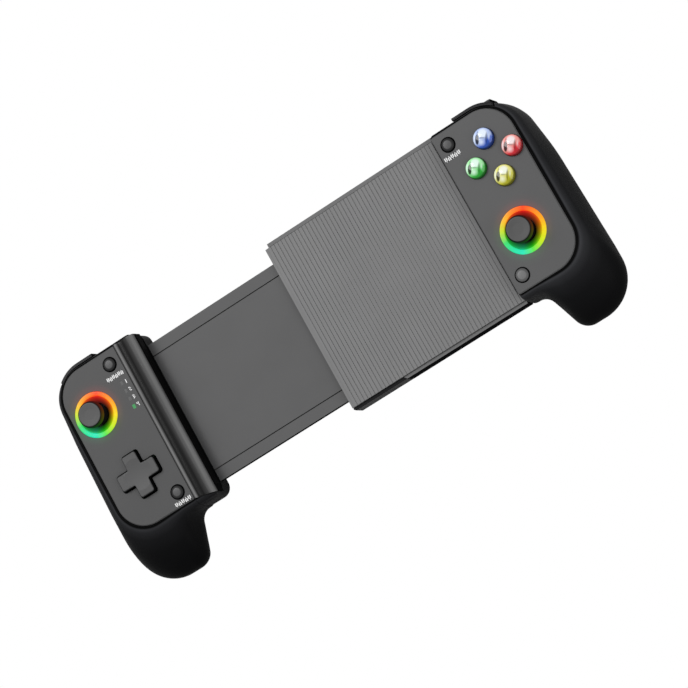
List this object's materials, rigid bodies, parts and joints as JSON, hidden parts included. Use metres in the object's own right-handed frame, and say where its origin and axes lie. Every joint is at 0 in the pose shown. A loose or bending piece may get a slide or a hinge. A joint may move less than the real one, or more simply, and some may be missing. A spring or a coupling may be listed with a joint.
{
  "type": "telescopic phone gamepad",
  "caption": "Stretching game controller: two contoured grips with sticks, pad and buttons, joined by a sliding bed that clamps a phone between them.",
  "frame": {"origin": "centre of the bounding box's base: the controller lies on the backs of its grips", "axes": "+X from the left handle to the right one along the stretch, +Y towards the shoulder buttons, +Z out of the faceplates"},
  "size_m": [0.2758, 0.1154, 0.0407],
  "materials": {
    "shell_black": "satin black",
    "plate_gray": "matte dark gray",
    "bed_gray": "matte gray",
    "slider_gray": "matte gray",
    "trigger_gray": "satin dark gray",
    "button_gray": "satin dark gray",
    "home_gray": "satin light gray",
    "jaw_gray": "semi-gloss gray",
    "stick_rubber": "matte black",
    "pad_rubber": "matte black",
    "button_blue": "clear, blue tinted",
    "button_red": "clear, red tinted",
    "button_yellow": "clear, yellow tinted",
    "button_green": "clear, green tinted",
    "ring_diffuser": "milky light guide",
    "light_diffuser": "milky light guide",
    "inner_black": "matte black",
    "membrane_gray": "silicone gray",
    "board_green": "solder mask green",
    "cell_foil": "foil wrapped cell",
    "steel": "plain steel",
    "cable_amber": "flat cable film"
  },
  "bodies": {
    "right_half": {"right_rear_shell": "shell_black", "right_faceplate": "plate_gray", "sleeve_tray": "bed_gray", "ribbed_plate": "bed_gray", "corner_guard": "inner_black", "sleeve_guides": "inner_black", "tray_screws": "steel", "right_board": "board_green", "battery": "cell_foil", "right_stick_base": "inner_black", "right_ring_light": "ring_diffuser", "right_stick_dish": "inner_black", "right_membrane": "membrane_gray", "right_switches": "inner_black", "right_jaw_pad": "pad_rubber", "right_shoulder_pins": "steel", "right_trigger_spring": "steel", "right_case_screws": "steel", "usb_port": "steel", "flex_cable_tail": "cable_amber"},
    "left_handle": {"left_rear_shell": "shell_black", "left_faceplate": "plate_gray", "jaw_bar": "jaw_gray", "left_jaw_pad": "pad_rubber", "slider_frame": "slider_gray", "slider_panel": "slider_gray", "flex_cable": "cable_amber", "left_board": "board_green", "left_stick_base": "inner_black", "left_ring_light": "ring_diffuser", "left_stick_dish": "inner_black", "dpad_mount": "inner_black", "left_membrane": "membrane_gray", "left_switches": "inner_black", "player_lights": "light_diffuser", "left_shoulder_pins": "steel", "left_trigger_spring": "steel", "left_case_screws": "steel", "slider_screws": "steel"},
    "right_stick_yoke": {"right_stick_yoke": "inner_black"},
    "right_stick_rocker": {"right_stick_rocker": "inner_black"},
    "right_stick": {"right_stick": "stick_rubber"},
    "left_stick_yoke": {"left_stick_yoke": "inner_black"},
    "left_stick_rocker": {"left_stick_rocker": "inner_black"},
    "left_stick": {"left_stick": "stick_rubber"},
    "face_button_north": {"face_button_north": "button_blue"},
    "face_button_east": {"face_button_east": "button_red"},
    "face_button_south": {"face_button_south": "button_yellow"},
    "face_button_west": {"face_button_west": "button_green"},
    "start_button": {"start_button": "button_gray"},
    "home_button": {"home_button": "home_gray"},
    "select_button": {"select_button": "button_gray"},
    "turbo_button": {"turbo_button": "button_gray"},
    "dpad_gimbal": {"dpad_gimbal": "inner_black"},
    "dpad_cross": {"dpad_cross": "plate_gray"},
    "right_bumper": {"right_bumper": "trigger_gray"},
    "left_bumper": {"left_bumper": "trigger_gray"},
    "right_trigger": {"right_trigger": "trigger_gray"},
    "left_trigger": {"left_trigger": "trigger_gray"}
  },
  "joints": [
    {"name": "stretch", "type": "slide", "parent": "right_half", "child": "left_handle", "axis": [-1, 0, 0], "range_m": [-0.072, 0.008]},
    {"name": "right_stick_fore_aft", "type": "hinge", "parent": "right_half", "child": "right_stick_yoke", "pos_m": [0.10855, -0.00676, 0.0255], "axis": [1, 0, 0], "range_deg": [-15, 15], "stiffness_Nm_per_rad": 0.02},
    {"name": "right_stick_side", "type": "hinge", "parent": "right_stick_yoke", "child": "right_stick_rocker", "pos_m": [0.10855, -0.00676, 0.0255], "axis": [0, 1, 0], "range_deg": [-15, 15], "stiffness_Nm_per_rad": 0.02},
    {"name": "right_stick_click", "type": "slide", "parent": "right_stick_rocker", "child": "right_stick", "axis": [0, 0, -1], "range_m": [0, 0.0005], "stiffness_N_per_m": 1500},
    {"name": "left_stick_fore_aft", "type": "hinge", "parent": "left_handle", "child": "left_stick_yoke", "pos_m": [-0.11595, 0.02854, 0.0255], "axis": [1, 0, 0], "range_deg": [-15, 15], "stiffness_Nm_per_rad": 0.02},
    {"name": "left_stick_side", "type": "hinge", "parent": "left_stick_yoke", "child": "left_stick_rocker", "pos_m": [-0.11595, 0.02854, 0.0255], "axis": [0, 1, 0], "range_deg": [-15, 15], "stiffness_Nm_per_rad": 0.02},
    {"name": "left_stick_click", "type": "slide", "parent": "left_stick_rocker", "child": "left_stick", "axis": [0, 0, -1], "range_m": [0, 0.0005], "stiffness_N_per_m": 1500},
    {"name": "press_north", "type": "slide", "parent": "right_half", "child": "face_button_north", "axis": [0, 0, -1], "range_m": [0, 0.0012], "stiffness_N_per_m": 450},
    {"name": "press_east", "type": "slide", "parent": "right_half", "child": "face_button_east", "axis": [0, 0, -1], "range_m": [0, 0.0012], "stiffness_N_per_m": 450},
    {"name": "press_south", "type": "slide", "parent": "right_half", "child": "face_button_south", "axis": [0, 0, -1], "range_m": [0, 0.0012], "stiffness_N_per_m": 450},
    {"name": "press_west", "type": "slide", "parent": "right_half", "child": "face_button_west", "axis": [0, 0, -1], "range_m": [0, 0.0012], "stiffness_N_per_m": 450},
    {"name": "press_start", "type": "slide", "parent": "right_half", "child": "start_button", "axis": [0, 0, -1], "range_m": [0, 0.0005], "stiffness_N_per_m": 900},
    {"name": "press_home", "type": "slide", "parent": "right_half", "child": "home_button", "axis": [0, 0, -1], "range_m": [0, 0.0005], "stiffness_N_per_m": 900},
    {"name": "press_select", "type": "slide", "parent": "left_handle", "child": "select_button", "axis": [0, 0, -1], "range_m": [0, 0.0005], "stiffness_N_per_m": 900},
    {"name": "press_turbo", "type": "slide", "parent": "left_handle", "child": "turbo_button", "axis": [0, 0, -1], "range_m": [0, 0.0005], "stiffness_N_per_m": 900},
    {"name": "dpad_fore_aft", "type": "hinge", "parent": "left_handle", "child": "dpad_gimbal", "pos_m": [-0.11065, -0.00716, 0.0248], "axis": [1, 0, 0], "range_deg": [-3.5, 3.5], "stiffness_Nm_per_rad": 0.08},
    {"name": "dpad_side", "type": "hinge", "parent": "dpad_gimbal", "child": "dpad_cross", "pos_m": [-0.11065, -0.00716, 0.0248], "axis": [0, 1, 0], "range_deg": [-3.5, 3.5], "stiffness_Nm_per_rad": 0.08},
    {"name": "right_bumper_press", "type": "hinge", "parent": "right_half", "child": "right_bumper", "pos_m": [0.10705, 0.05084, 0.0255], "axis": [0, 0, -1], "range_deg": [0, 1.2], "stiffness_Nm_per_rad": 0.6},
    {"name": "right_trigger_pull", "type": "hinge", "parent": "right_half", "child": "right_trigger", "pos_m": [0.11385, 0.04944, 0.0172], "axis": [-1, 0, 0], "range_deg": [0, 12], "stiffness_Nm_per_rad": 0.08},
    {"name": "left_bumper_press", "type": "hinge", "parent": "left_handle", "child": "left_bumper", "pos_m": [-0.10705, 0.05084, 0.0255], "axis": [0, 0, 1], "range_deg": [0, 1.2], "stiffness_Nm_per_rad": 0.6},
    {"name": "left_trigger_pull", "type": "hinge", "parent": "left_handle", "child": "left_trigger", "pos_m": [-0.11385, 0.04944, 0.0172], "axis": [-1, 0, 0], "range_deg": [0, 12], "stiffness_Nm_per_rad": 0.08}
  ]
}
